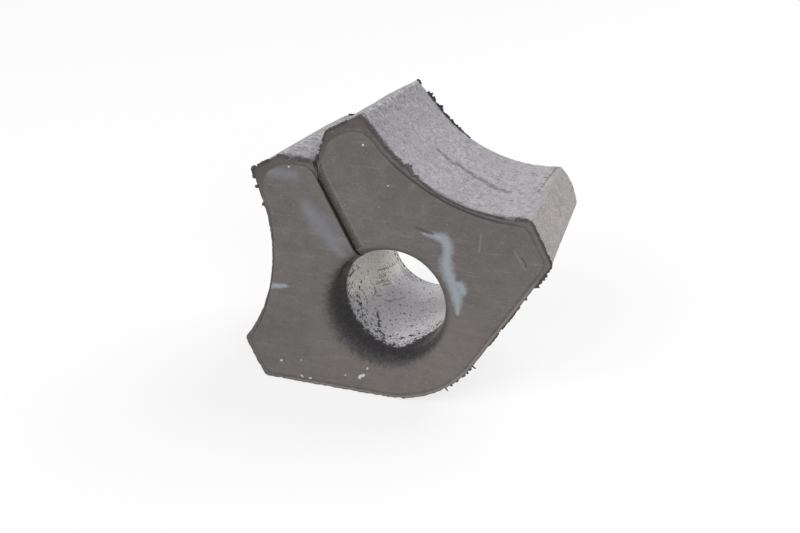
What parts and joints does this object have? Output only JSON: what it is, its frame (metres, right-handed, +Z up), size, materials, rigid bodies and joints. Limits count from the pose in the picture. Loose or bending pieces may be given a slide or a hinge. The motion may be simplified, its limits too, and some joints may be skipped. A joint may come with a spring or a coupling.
{
  "type": "sway bar bushing",
  "caption": "Split rubber bushing block with a round bore, a V-shaped seat, hollow sides and torn moulding flash, for clamping round a sway bar.",
  "frame": {"origin": "middle of the seat flat that the block stands on, halfway along the bore", "axes": "+Z up from the seat flat, +Y along the bore from the front end face to the rear one, +X from the seat flat toward the second seat flat"},
  "size_m": [0.0629, 0.042, 0.0588],
  "materials": {
    "rubber": "dull, aged, slightly greyed black rubber"
  },
  "bodies": {
    "root": {"rubber_block": "rubber"}
  },
  "joints": []
}
